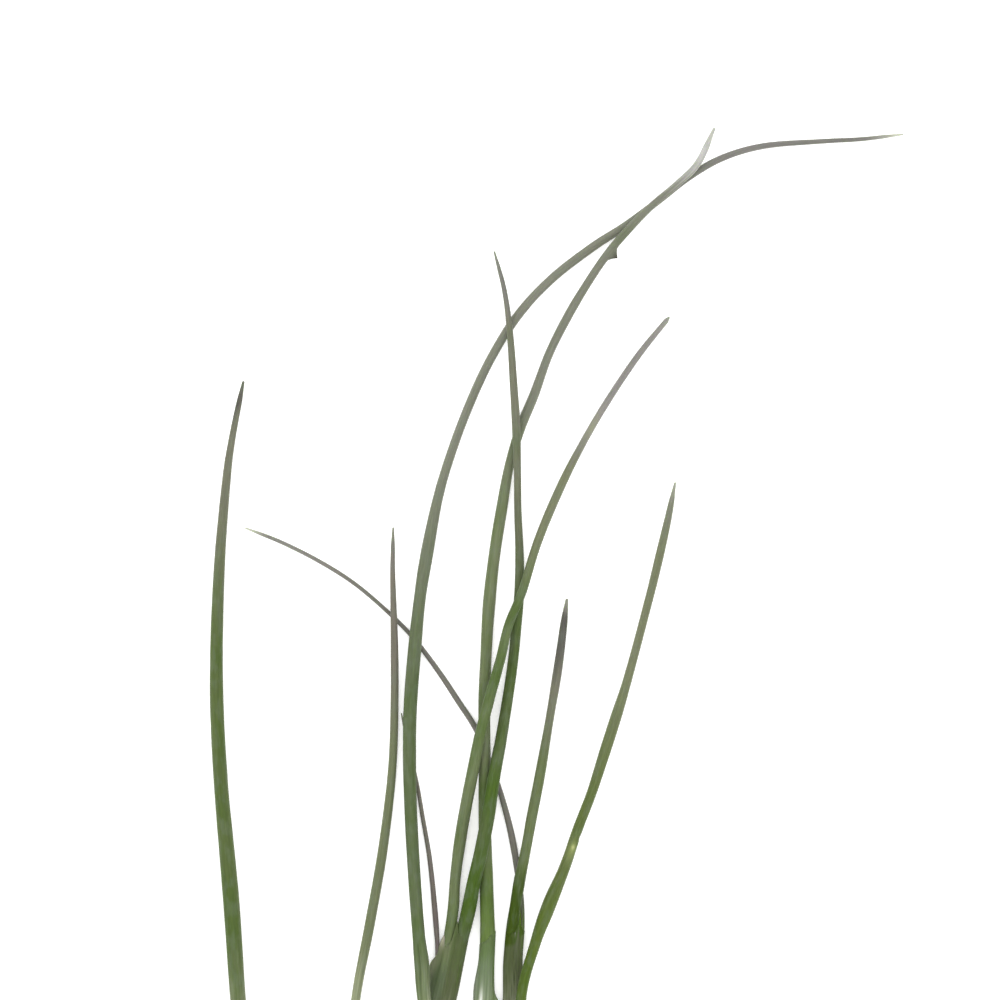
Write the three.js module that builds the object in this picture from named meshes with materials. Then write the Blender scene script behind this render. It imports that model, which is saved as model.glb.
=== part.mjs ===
// Chive bunch, laid down on a table: ten hollow leaves, loosely gathered and cut across at the foot. Each leaf is
// one slim tapering tube. The leaves lie on one another, and every leaf that crosses another passes over it in a
// long low hump. A papery sheath wraps the feet of the leaves that grew together.
//
// Millimetres, +Z up. The bunch lies on z = 0 with its tips towards +Y, and the origin is on the table in the
// middle of its length and of its spread.

import * as THREE from "three";

// ---------------------------------------------------------------------------------------------------------------
// Driving dimensions
// ---------------------------------------------------------------------------------------------------------------

const LEAF_SIDES = 8; // a leaf's section is an octagon with one flat side down
const SHEATH_SIDES = 12;
const RING_SPACING = 5; // along a leaf
const SHEATH_RING_SPACING = 8;

const LEAF_WALL = 0.6; // thickness of the hollow leaf's wall at its cut foot
const BORE_DEPTH = 20; // how far the foot's bore runs up the leaf
const NARROWEST_BORED_FOOT = 2; // a slimmer foot is folded shut
const NOSE_LENGTH = 0.5; // the rounded tip, as a share of the leaf's width there
const NOSE_WIDTH = 0.5; // width at the very end, as a share of the same

const SHEATH_WALL = 0.6;

// A sheath runs from the cut foot to its mouth. A point is [x, y, width].
// height is its thickness as it lies, and slant is how much further the mouth reaches on its right side.
const SHEATHS = {
  sheath_centre: {
    height: 3.8,
    slant: 4.5,
    colour: 0x667251,
    route: [
      [-35, -122.3, 6.4], [-32.8, -104.7, 6.4], [-29.3, -87.1, 6.4], [-25.5, -69.5, 6.6],
      [-24.1, -62.5, 6.9], [-22.9, -56.2, 7],
    ],
  },
  sheath_inner: {
    height: 3.7,
    slant: 3,
    colour: 0x84947a,
    route: [
      [-18.7, -122.3, 4.2], [-18, -100.3, 4.3], [-17.1, -82.7, 4.4], [-16.1, -69.5, 4.7],
      [-15.6, -61.8, 4.2], [-15.3, -55.9, 3.9],
    ],
  },
  sheath_right: {
    height: 3.3,
    slant: 1,
    colour: 0x65714d,
    route: [
      [-12.7, -122.3, 4.5], [-11.9, -100.3, 4.5], [-10.7, -82.7, 4.5], [-9.75, -69.5, 4.6],
      [-9.65, -61.8, 4.8], [-9.15, -54.6, 4.6],
    ],
  },
};

// A leaf runs from its cut foot to its tip. A point is [x, y, lift, width], where lift is the clear height under
// the leaf: 0 where it lies on the table, and more where it passes over another leaf. A leaf with a foot stands
// in a sheath, aside of the sheath's middle and no wider than the foot, and its points start above the mouth. The
// fine short leaf stands in the centre sheath too, but its points run all the way up from the cut.
const LEAVES = {
  leaf_far_left: {
    colour: 0x66704c,
    route: [
      [-59, -122.3, 0, 2.9], [-64.6, -104.7, 0, 3.1], [-68.2, -87.1, 0, 3.3], [-70.2, -69.5, 0, 3.5],
      [-71.75, -47.3, 0, 3.6], [-74.05, -21.1, 0, 3.15], [-75, 0.9, 0, 2.95], [-74.4, 25.1, 0, 2.6],
      [-72.8, 44.9, 0.2, 1.9], [-71.55, 54, 0.5, 1.35], [-69.1, 66.4, 0.8, 0.95],
    ],
  },
  leaf_left_upright: {
    colour: 0x777d62,
    route: [
      [-44.7, -122.3, 0, 2], [-46.2, -105.8, 0, 2.05], [-46, -87.1, 0, 2.1], [-44.3, -69.1, 0, 2.05],
      [-41.3, -53.2, 0, 2.2], [-38.3, -35.9, 0, 2.15], [-36.3, -18.5, 0, 1.85], [-35.8, -3.5, 0.3, 1.8],
      [-35.8, 7.9, 1.2, 1.7], [-36, 16.7, 1.35, 1.4], [-36.2, 25.5, 1, 1.1], [-36.1, 34.3, 0.8, 0.8],
    ],
  },
  leaf_tall_arching: {
    colour: 0x6a7554,
    route: [
      [-24.4, -122.3, 0, 2.8], [-24, -108, 0.3, 2.9], [-25.1, -93.7, 2.6, 3], [-27.1, -80.5, 4.4, 3],
      [-29.2, -69.1, 3.9, 3.1], [-29.8, -61, 3, 3.3], [-30.55, -54, 2, 2.8], [-31.65, -38.7, 1.3, 2.85],
      [-32.35, -23.3, 1.2, 2.85], [-32.4, -7.9, 1.2, 3], [-31.55, 5.3, 1.4, 3], [-30.25, 18.5, 1.2, 2.5],
      [-28.5, 29.5, 0.6, 2.85], [-26.2, 41.1, 0, 2.2], [-23.1, 51.5, 0, 2.1], [-19.1, 62, 0, 2.15],
      [-14.45, 71.9, 0, 1.95], [-8.6, 81.2, 0, 1.95], [-1.3, 89.1, 0, 1.95], [7.7, 96.1, 0, 1.95],
      [14.7, 100.65, 0, 1.75], [22.1, 106.2, 0, 1.55], [29.4, 111.85, 0, 1.55], [36.8, 116, 0, 1.45],
      [45.8, 118.5, 0, 1.3], [58.5, 119.5, 0, 1.05], [67.3, 120, 0.1, 0.9], [76.1, 121, 0.4, 0.7],
    ],
  },
  leaf_tall_inner: {
    colour: 0x6f7a59,
    foot: { sheath: "sheath_inner", aside: 0, width: 1.7 },
    route: [
      [-15.4, -50.2, 0.6, 3.2], [-15.6, -43.1, 0.1, 3], [-15.85, -35.4, 0.1, 2.85], [-15.95, -27.7, 0.5, 2.75],
      [-15.95, -19.4, 1.5, 2.7], [-16, -11.2, 1.6, 2.65], [-16, -3.5, 0.7, 2.7], [-15.65, 6.4, 0, 2.5],
      [-15, 17.4, 0, 2.8], [-13.8, 28.4, 0, 2.55], [-12.1, 39.2, 0, 2.5], [-10.5, 48.2, 0, 2.1],
      [-8.1, 56.3, 0, 2.2], [-5.05, 63.7, 0, 2.1], [-1.8, 72.6, 0.2, 1.95], [2.4, 81, 0.8, 2],
      [6.95, 88.6, 1.6, 1.8], [11.3, 94.9, 2.2, 1.8], [16, 100.35, 2.2, 1.75], [20.85, 105.25, 2.1, 1.55],
      [26.3, 109.85, 2, 1.5], [30.9, 114.5, 1.9, 1.55], [34.5, 122.1, 1.8, 1.2],
    ],
  },
  leaf_centre_upright: {
    colour: 0x66734a,
    foot: { sheath: "sheath_centre", aside: 1.3, width: 1.35 },
    route: [
      [-19.5, -49.7, 0.8, 3.25], [-18.35, -43.6, 2.5, 3], [-16.7, -36.5, 3.5, 3], [-15.2, -28.8, 3.8, 3],
      [-13.8, -19.8, 3.6, 2.8], [-12.4, -12.3, 2.2, 2.6], [-10.95, -3.5, 0.9, 2.4], [-9.7, 5.3, 0.2, 2.35],
      [-8.95, 13, 0, 2.3], [-8.3, 20.7, 0, 2.2], [-8.3, 29.5, 0.1, 1.85], [-8.65, 38.3, 1, 1.65],
      [-8.75, 47.1, 2.4, 1.65], [-9.05, 57, 2.7, 1.85], [-9.65, 66.9, 2.4, 1.7], [-10.35, 76.8, 2.3, 1.45],
      [-11.6, 86.5, 2.2, 1.1], [-13.8, 95, 2.4, 0.8],
    ],
  },
  leaf_centre_bent: {
    colour: 0x6f795a,
    foot: { sheath: "sheath_centre", aside: -0.35, width: 1.4 },
    route: [
      [-22.85, -49.3, 0.9, 2.5], [-22.4, -43.1, 0.6, 2.55], [-21.5, -35.4, 0.5, 2.65], [-20.2, -27.7, 1.3, 2.65],
      [-18.5, -18.9, 3.2, 2.6], [-17, -11.2, 4.7, 2.45], [-14.95, -3.3, 4.4, 2.4], [-12.4, 5.9, 3.6, 2.15],
      [-10.7, 13, 3, 2], [-7.65, 20.45, 2.7, 1.95], [-4.25, 31.4, 2, 1.95], [0.7, 43.25, 0.8, 1.9],
      [5.65, 53, 0.2, 1.6], [11.25, 62.5, 0, 1.5], [17.85, 72.3, 0, 1.4], [24.55, 80.6, 0.5, 1.1],
    ],
  },
  leaf_right_short: {
    colour: 0x6e7a5b,
    foot: { sheath: "sheath_right", aside: -0.7, width: 1.2 },
    route: [
      [-9.2, -48.8, 1.8, 2.5], [-8.2, -42.7, 2, 2.55], [-6.85, -36.1, 1.9, 2.3], [-5.6, -29.3, 0.8, 2.35],
      [-3.9, -20.7, 0, 2.3], [-1.65, -7.7, 0, 1.85], [0.3, 4.2, 0, 2], [2.15, 18.5, 0.5, 1.2],
    ],
  },
  leaf_right_outer: {
    colour: 0x6a7650,
    route: [
      [-8.2, -122.3, 0, 2.2], [-7.6, -100.3, 0.5, 2.3], [-7.2, -84, 2.8, 2.3], [-7.95, -69.1, 3.6, 2.3],
      [-4.95, -57.4, 2.1, 2.4], [-1.75, -48.6, 0.2, 3.15], [1.7, -40.3, 0, 2.45], [4.55, -31.9, 0, 2.4],
      [7.65, -23.85, 0, 2.2], [10.35, -15.45, 0, 2.5], [13.1, -6.85, 0, 2.45], [15.65, 1.5, 0, 1.95],
      [19.9, 17.4, 0, 1.85], [22.3, 27.1, 0, 1.9], [24.25, 35.6, 0.1, 1.6], [26, 44.2, 0.4, 0.9],
    ],
  },
  leaf_fine_arching: {
    colour: 0x8e8b85,
    foot: { sheath: "sheath_right", aside: 0.8, width: 0.9 },
    route: [
      [-7.75, -48, 0.1, 1], [-8.65, -42, 0, 1.3], [-9.45, -36.5, 0, 1.5], [-10.85, -29.9, 0, 1.4],
      [-13.2, -21.8, 0, 1.2], [-17.45, -10.8, 0, 1.25], [-21.85, -3.7, 0, 1.3], [-26.65, 3.5, 0, 1.15],
      [-32.1, 10.6, 0, 1], [-38.35, 16.8, 0, 0.9], [-45.1, 22.4, 0, 0.9], [-52.7, 27.15, 0, 0.9],
      [-60.55, 31.1, 0, 0.85], [-68.6, 34.3, 0.2, 0.7],
    ],
  },
  leaf_fine_short: {
    colour: 0x7a7171,
    route: [
      [-36.8, -122.1, 1.5, 0.8], [-34.6, -104.4, 1.5, 0.8], [-31.15, -86.7, 1.5, 0.8], [-27.45, -69.1, 1.5, 0.8],
      [-25.95, -62.2, 1.5, 0.8], [-25.1, -58.4, 1.5, 0.9], [-26.3, -54, 0.7, 1.15], [-26.9, -50.2, 0.2, 1.25],
      [-27.55, -43.1, 0, 1.15], [-28.35, -36.7, 0, 1.05], [-29.6, -29.5, 0, 0.95], [-30.9, -21.8, 0, 0.85],
      [-32.6, -14.5, 0, 0.7], [-34.3, -6.6, 0, 0.6],
    ],
  },
};

// ---------------------------------------------------------------------------------------------------------------
// Sections and skins
// ---------------------------------------------------------------------------------------------------------------

const UP = new THREE.Vector3(0, 0, 1);

// A smooth curve through every point, evenly paced from one point to the next, so that two curves through lists
// of the same length keep step.
function smooth(points) {
  return new THREE.CatmullRomCurve3(points, false, "catmullrom", 0.5);
}

// The level direction that points to the right of someone looking along the curve.
function rightOf(curve, t) {
  return curve.getTangent(t).cross(UP).normalize();
}

// One upright oval section, with a flat side down: width and height are measured across the flats.
// slant moves its right side forward along the run and its left side back by half of slant each.
function ring(centre, right, width, height, sides, slant = 0) {
  const toCorner = 1 / Math.cos(Math.PI / sides);
  const forward = new THREE.Vector3().crossVectors(UP, right);
  const corners = [];
  for (let i = 0; i < sides; i += 1) {
    const angle = ((i + 0.5) / sides) * 2 * Math.PI - Math.PI / 2;
    corners.push(
      centre.clone()
        .addScaledVector(right, (Math.cos(angle) * toCorner * width) / 2)
        .addScaledVector(UP, (Math.sin(angle) * toCorner * height) / 2)
        .addScaledVector(forward, (Math.cos(angle) * slant) / 2),
    );
  }
  return corners;
}

// A closed skin over a row of rings. Its two ends are capped, or joined to each other where the row is a loop.
function skin(rings, loop) {
  const sides = rings[0].length;
  const corners = rings.flat();
  const faces = [];
  const spans = loop ? rings.length : rings.length - 1;
  for (let i = 0; i < spans; i += 1) {
    const here = i * sides;
    const next = ((i + 1) % rings.length) * sides;
    for (let j = 0; j < sides; j += 1) {
      const k = (j + 1) % sides;
      faces.push(here + j, next + j, next + k);
      faces.push(here + j, next + k, here + k);
    }
  }
  if (!loop) {
    const last = corners.length - sides;
    for (let j = 1; j < sides - 1; j += 1) {
      faces.push(0, j, j + 1);
      faces.push(last, last + j + 1, last + j);
    }
  }
  const geometry = new THREE.BufferGeometry().setFromPoints(corners);
  geometry.setIndex(faces);
  geometry.computeVertexNormals();
  return geometry;
}

// ---------------------------------------------------------------------------------------------------------------
// Leaves and sheaths
// ---------------------------------------------------------------------------------------------------------------

// The points of a leaf's foot, which runs up at half height in its sheath, beside the shoot's other leaf.
function footPoints({ sheath, aside, width }) {
  const middle = SHEATHS[sheath].route.map(([x, y]) => new THREE.Vector3(x, y, 0));
  const curve = smooth(middle);
  return middle.map((point, i) => {
    const place = point.clone().addScaledVector(rightOf(curve, i / (middle.length - 1)), aside);
    return [place.x, place.y, (SHEATHS[sheath].height - width) / 2, width];
  });
}

// A leaf is a solid tube with a rounded tip and, where its foot is wide enough, a bore up the foot.
// The row of rings starts at the bore's far end, comes down to the cut and then runs up the outside.
function leafGeometry({ foot, route }) {
  const points = [...(foot ? footPoints(foot) : []), ...route];
  const underside = smooth(points.map(([x, y, lift]) => new THREE.Vector3(x, y, lift)));
  const widths = smooth(points.map((point) => new THREE.Vector3(point[3], 0, 0)));
  const length = underside.getLength();
  const steps = Math.round(length / RING_SPACING);

  const ringAt = (t, inset) => {
    const place = underside.getPoint(t);
    const width = widths.getPoint(t).x;
    place.z = Math.max(place.z, 0) + width / 2;
    return ring(place, rightOf(underside, t), width - 2 * inset, width - 2 * inset, LEAF_SIDES);
  };

  const rings = [];
  if (points[0][3] >= NARROWEST_BORED_FOOT) {
    const boreSteps = Math.round(BORE_DEPTH / RING_SPACING);
    for (let i = boreSteps; i >= 0; i -= 1) {
      rings.push(ringAt(i / steps, LEAF_WALL));
    }
  }
  for (let i = 0; i <= steps; i += 1) {
    rings.push(ringAt(i / steps, 0));
  }

  const tipWidth = points.at(-1)[3];
  const nose = underside.getPoint(1).addScaledVector(underside.getTangent(1), NOSE_LENGTH * tipWidth);
  nose.z = Math.max(nose.z, 0) + tipWidth / 2;
  rings.push(ring(nose, rightOf(underside, 1), NOSE_WIDTH * tipWidth, NOSE_WIDTH * tipWidth, LEAF_SIDES));
  return skin(rings, false);
}

// A sheath is an oval pipe, open at the cut and at its slanting mouth. The row of rings runs up the outside,
// over the lip and down the inside.
function sheathGeometry({ route, height, slant }) {
  const middle = smooth(route.map(([x, y]) => new THREE.Vector3(x, y, height / 2)));
  const widths = smooth(route.map((point) => new THREE.Vector3(point[2], 0, 0)));
  const steps = Math.round(middle.getLength() / SHEATH_RING_SPACING);

  const ringAt = (t, inset) => ring(
    middle.getPoint(t),
    rightOf(middle, t),
    widths.getPoint(t).x - 2 * inset,
    height - 2 * inset,
    SHEATH_SIDES,
    t === 1 ? slant : 0,
  );

  const rings = [];
  for (let i = 0; i <= steps; i += 1) {
    rings.push(ringAt(i / steps, 0));
  }
  for (let i = steps; i >= 0; i -= 1) {
    rings.push(ringAt(i / steps, SHEATH_WALL));
  }
  return skin(rings, true);
}

// ---------------------------------------------------------------------------------------------------------------
// The bunch
// ---------------------------------------------------------------------------------------------------------------

function piece(name, geometry, colour) {
  const material = new THREE.MeshStandardMaterial({ color: colour, roughness: 0.55, metalness: 0 });
  const mesh = new THREE.Mesh(geometry, material);
  mesh.name = name;
  return mesh;
}

const bunch = new THREE.Group();
for (const [name, leaf] of Object.entries(LEAVES)) {
  bunch.add(piece(name, leafGeometry(leaf), leaf.colour));
}
for (const [name, sheath] of Object.entries(SHEATHS)) {
  bunch.add(piece(name, sheathGeometry(sheath), sheath.colour));
}

export default bunch;
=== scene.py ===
"""A loose bunch of fresh chives on a table: ten hollow leaves, with papery sheaths at their cut feet."""

import math
import random

import bmesh
import bpy
import numpy as np
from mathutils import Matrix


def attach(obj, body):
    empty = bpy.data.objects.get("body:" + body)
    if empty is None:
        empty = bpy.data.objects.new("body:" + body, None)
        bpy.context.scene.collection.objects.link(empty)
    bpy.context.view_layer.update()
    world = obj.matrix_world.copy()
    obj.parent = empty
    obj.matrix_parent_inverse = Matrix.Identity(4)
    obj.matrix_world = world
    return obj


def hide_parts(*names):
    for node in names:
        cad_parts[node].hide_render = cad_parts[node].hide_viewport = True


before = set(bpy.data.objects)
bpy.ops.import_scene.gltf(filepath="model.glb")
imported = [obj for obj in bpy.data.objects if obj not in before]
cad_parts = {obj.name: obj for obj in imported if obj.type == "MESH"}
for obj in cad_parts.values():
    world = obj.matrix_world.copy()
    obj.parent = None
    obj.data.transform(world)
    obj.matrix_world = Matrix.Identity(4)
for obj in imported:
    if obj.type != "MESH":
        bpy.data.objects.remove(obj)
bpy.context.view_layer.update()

# ----------------------------------------------------------------------------------------------------
# Camera
# It hangs straight over the bunch, square to the table and over a metre up, so that high leaves look
# hardly bigger than low ones. The cut feet run out of the view's lower edge.
# ----------------------------------------------------------------------------------------------------
VIEW_WIDTH = 0.220
VIEW_MIDDLE = (-0.01258, 0.04048)
FOCUS_HEIGHT = 0.002  # half way up the bunch
LENS = 200
SENSOR = 36
VIEW_END = 20

camera_data = bpy.data.cameras.new("camera")
camera_data.lens = LENS
camera_data.sensor_width = SENSOR
camera_data.clip_end = VIEW_END
camera = bpy.data.objects.new("camera", camera_data)
camera.location = (*VIEW_MIDDLE, FOCUS_HEIGHT + VIEW_WIDTH * LENS / SENSOR)
bpy.context.collection.objects.link(camera)
bpy.context.scene.camera = camera

# ----------------------------------------------------------------------------------------------------
# Table and light
# The bunch lies on a smooth white table. Bright walls and two big soft boxes light it from all around,
# and the table glows faintly itself, so that it stays white even between the leaves.
# ----------------------------------------------------------------------------------------------------
TABLE_SIZE = 6.0
TABLE_DROP = 0.00004  # keeps the table just clear of the leaves' undersides
TABLE_WHITE = (0.93, 0.93, 0.925, 1)
WALL_WHITE = (1, 1, 1, 1)
TABLE_GLOW = 0.28
TABLE_ROUGHNESS = 0.9
TABLE_GLOSS = 0.1
WALL_STRENGTH = 1.45
OVERHEAD_BOX = {"place": (0.1, 0.3, 1.6), "size": 1.6, "watts": 9}
SIDE_BOX = {"place": (-1.1, 0.5, 1.0), "size": 1.0, "watts": 3}

bpy.context.scene.view_settings.view_transform = "Standard"
bpy.context.scene.view_settings.look = "None"

room = bpy.data.worlds.new("white_room")
room.use_nodes = True
walls = room.node_tree.nodes["Background"]
walls.inputs["Color"].default_value = WALL_WHITE
walls.inputs["Strength"].default_value = WALL_STRENGTH
bpy.context.scene.world = room

for name, box in (("overhead_box", OVERHEAD_BOX), ("side_box", SIDE_BOX)):
    lamp = bpy.data.lights.new(name, "AREA")
    lamp.size = box["size"]
    lamp.energy = box["watts"]
    holder = bpy.data.objects.new(name, lamp)
    holder.location = box["place"]
    holder.rotation_euler = (-holder.location).to_track_quat("-Z", "Y").to_euler()
    bpy.context.collection.objects.link(holder)

half = TABLE_SIZE / 2
corners = [(x * half, y * half, -TABLE_DROP) for x, y in ((-1, -1), (1, -1), (1, 1), (-1, 1))]
table_mesh = bpy.data.meshes.new("table")
table_mesh.from_pydata(corners, [], [(0, 1, 2, 3)])
table = bpy.data.objects.new("table", table_mesh)
bpy.context.collection.objects.link(table)
table_paint = bpy.data.materials.new("white_table")
table_paint.use_nodes = True
table_shader = table_paint.node_tree.nodes["Principled BSDF"]
table_shader.inputs["Base Color"].default_value = TABLE_WHITE
table_shader.inputs["Roughness"].default_value = TABLE_ROUGHNESS
table_shader.inputs["Specular IOR Level"].default_value = TABLE_GLOSS
table_shader.inputs["Emission Color"].default_value = TABLE_WHITE
table_shader.inputs["Emission Strength"].default_value = TABLE_GLOW
table_mesh.materials.append(table_paint)

# ----------------------------------------------------------------------------------------------------
# Far left leaf
# The broadest leaf, which stands apart from the rest and bows to the left. A chive leaf is a hollow,
# faintly ribbed green tube with a thin wall and a dull waxy skin, and its tip dries to a grey point.
# ----------------------------------------------------------------------------------------------------
MM = 0.001
LEAF_SIDES = 40
RING_SPACING = 0.8  # along a leaf, in mm, as every length below is
FINE_STEPS = 60  # measuring steps from one point of a route to the next
LEAF_WALL = 0.35
MOST_WALL = 0.3  # the wall of a thin leaf at most, as a share of its width
BORE_DEPTH = 40
MOST_BORE = 0.3  # how deep a short leaf is open at most, as a share of its length
BORE_RING_SPACING = 4
CUT_UNEVENNESS = 0.25
RIB_DEPTH = 0.03  # share of the leaf's radius
DRY_RIB_DEPTH = 0.16
RIB_LEVEL = 0.3  # how far the skin between crest and groove is set in, as a share of the rib's depth
RIB_TWIST = 0.8  # how far the ribs wander around the leaf, in radians
TWIST_LENGTH = 160
SWELL = 0.03  # how much a leaf thins between its fuller stretches
SWELL_LENGTH = 34
DRY_LENGTH = 14  # how far from the tip a leaf is shrivelled
FULL_FLATNESS = 0.995  # height of a fresh section, as a share of its width
DRY_FLATNESS = 0.72  # the same at the dry tip
POINT_LENGTH = 5  # the last of a leaf, which narrows to a needle
POINT_WIDTH = 0.42  # width at its end, as a share
POINT_PAST = 0.4  # how far beyond the tip it would narrow fully, as a share of its length
TIP_ROUNDING = (0.35, 0.65, 0.85, 0.96)  # rings beyond the last one, as shares of the tip's half width
DRIFT_WAVES = ((1, 0.5), (0.43, 0.3), (0.19, 0.2))  # length of each, as a share, and its strength
GRAIN_STEP = 400  # sets the grain of one piece apart from the next one's

# A point of a route is [x, y, lift, width], in mm, where lift is the clear height under the leaf.
FAR_LEFT_ROUTE = [
    [-59, -122.3, 0, 2.9], [-64.6, -104.7, 0, 3.1], [-68.2, -87.1, 0, 3.3], [-70.2, -69.5, 0, 3.5],
    [-71.75, -47.3, 0, 3.6], [-74.05, -21.1, 0, 3.15], [-75, 0.9, 0, 2.95], [-74.4, 25.1, 0, 2.45],
    [-72.8, 44.9, 0.2, 1.9], [-71.55, 54, 0.5, 1.5], [-69.1, 66.4, 0.8, 1.1],
]


def trace(points, places):
    """The smooth line through points, at each place along it. Place 1.5 is half way from point 1 to 2."""
    line = np.vstack([2 * points[0] - points[1], points, 2 * points[-1] - points[-2]])
    before = np.clip(places.astype(int), 0, len(points) - 2)
    part = (places - before)[:, None]
    a, b, c, d = (line[before + step] for step in range(4))
    leaving = (c - a) / 2
    arriving = (d - b) / 2
    bend = 3 * (c - b) - 2 * leaving - arriving
    twist = 2 * (b - c) + leaving + arriving
    return b + part * (leaving + part * (bend + part * twist))


def walk(route, spacing):
    """Stations at even distances along a route, each with the route's own columns, and the distances."""
    points = np.array(route, float)
    places = np.linspace(0, len(points) - 1, FINE_STEPS * (len(points) - 1) + 1)
    steps = np.linalg.norm(np.diff(trace(points, places)[:, :3], axis=0), axis=1)
    distance = np.concatenate([[0], np.cumsum(steps)])
    wanted = np.linspace(0, distance[-1], round(distance[-1] / spacing) + 1)
    return trace(points, np.interp(wanted, distance, places)), wanted


def directions(centres):
    """The way along, to the right and up at each centre of a run that lies on the table."""
    ahead = np.gradient(centres, axis=0)
    ahead /= np.linalg.norm(ahead, axis=1, keepdims=True)
    right = np.cross(ahead, [0, 0, 1])
    right /= np.linalg.norm(right, axis=1, keepdims=True)
    return ahead, right, np.cross(right, ahead)


def drift(distance, seed, reach):
    """A slow uneven wave from -1 to 1 along a run. reach is its usual length."""
    draw = random.Random(seed)
    wave = 0
    for share, strength in DRIFT_WAVES:
        start = draw.uniform(0, 2 * math.pi)
        wave = wave + strength * np.sin(2 * math.pi * distance / (reach * share) + start)
    return wave


def ease(value, low, high):
    """0 below low, 1 above high and a smooth rise between."""
    share = np.clip((value - low) / (high - low), 0, 1)
    return share * share * (3 - 2 * share)


def closed_skin(name, rows, values, loop=False):
    """A closed mesh over rows of corners in mm. Its ends are gathered to a point, or joined in a loop.
    values are what the material reads at each corner: a name, and one number or a point per corner."""
    count, sides = rows.shape[:2]
    corners = rows.reshape(-1, 3)
    faces = []
    for i in range(count if loop else count - 1):
        here = i * sides
        after = (i + 1) % count * sides
        for j in range(sides):
            k = (j + 1) % sides
            faces.append((here + j, here + k, after + k, after + j))
    if not loop:
        corners = np.vstack([corners, rows[0].mean(axis=0), rows[-1].mean(axis=0)])
        last = (count - 1) * sides
        for j in range(sides):
            k = (j + 1) % sides
            faces.append((count * sides, k, j))
            faces.append((count * sides + 1, last + j, last + k))
    mesh = bpy.data.meshes.new(name)
    mesh.from_pydata((corners * MM).tolist(), [], faces)
    for key, value in values.items():
        flat = value.reshape(count * sides, -1)
        if not loop:
            flat = np.vstack([flat, flat[:sides].mean(axis=0), flat[-sides:].mean(axis=0)])
        kind, slot = ("FLOAT", "value") if flat.shape[1] == 1 else ("FLOAT_VECTOR", "vector")
        mesh.attributes.new(key, kind, "POINT").data.foreach_set(slot, flat.astype(np.float32).ravel())
    shaped = bmesh.new()
    shaped.from_mesh(mesh)
    bmesh.ops.recalc_face_normals(shaped, faces=shaped.faces)
    shaped.to_mesh(mesh)
    shaped.free()
    mesh.polygons.foreach_set("use_smooth", [True] * len(mesh.polygons))
    piece = bpy.data.objects.new(name, mesh)
    bpy.context.collection.objects.link(piece)
    return piece


def marked(radius, stations, distance, angles, marks):
    """radius with its marks, and how each corner is tinted by them. A mark is (y, angle, reach, spread,
    height, tint): a small bump or dent at that y and angle around the piece, reach mm along it and spread
    radians around it, and how pale (above 0) or dark (below 0) it is."""
    tint = radius * 0
    for y, angle, reach, spread, height, shade in marks:
        at = distance[np.argmin(np.abs(stations[:, 1] - y))]
        turned = (angles - math.radians(angle) + math.pi) % (2 * math.pi) - math.pi
        lengthwise = np.exp(-(((distance - at) / reach) ** 2))
        crosswise = np.exp(-((turned / spread) ** 2))
        shape = lengthwise[:, None] * crosswise[None, :]
        radius = radius + height * shape
        tint = tint + shade * shape
    return radius, tint


def grain_of(sizes, angles, along, seed):
    """Where each corner of a row lies in its piece's grain."""
    lengthwise = 0 * angles + along + GRAIN_STEP * seed
    return np.column_stack([sizes * np.cos(angles), sizes * np.sin(angles), lengthwise])


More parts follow.
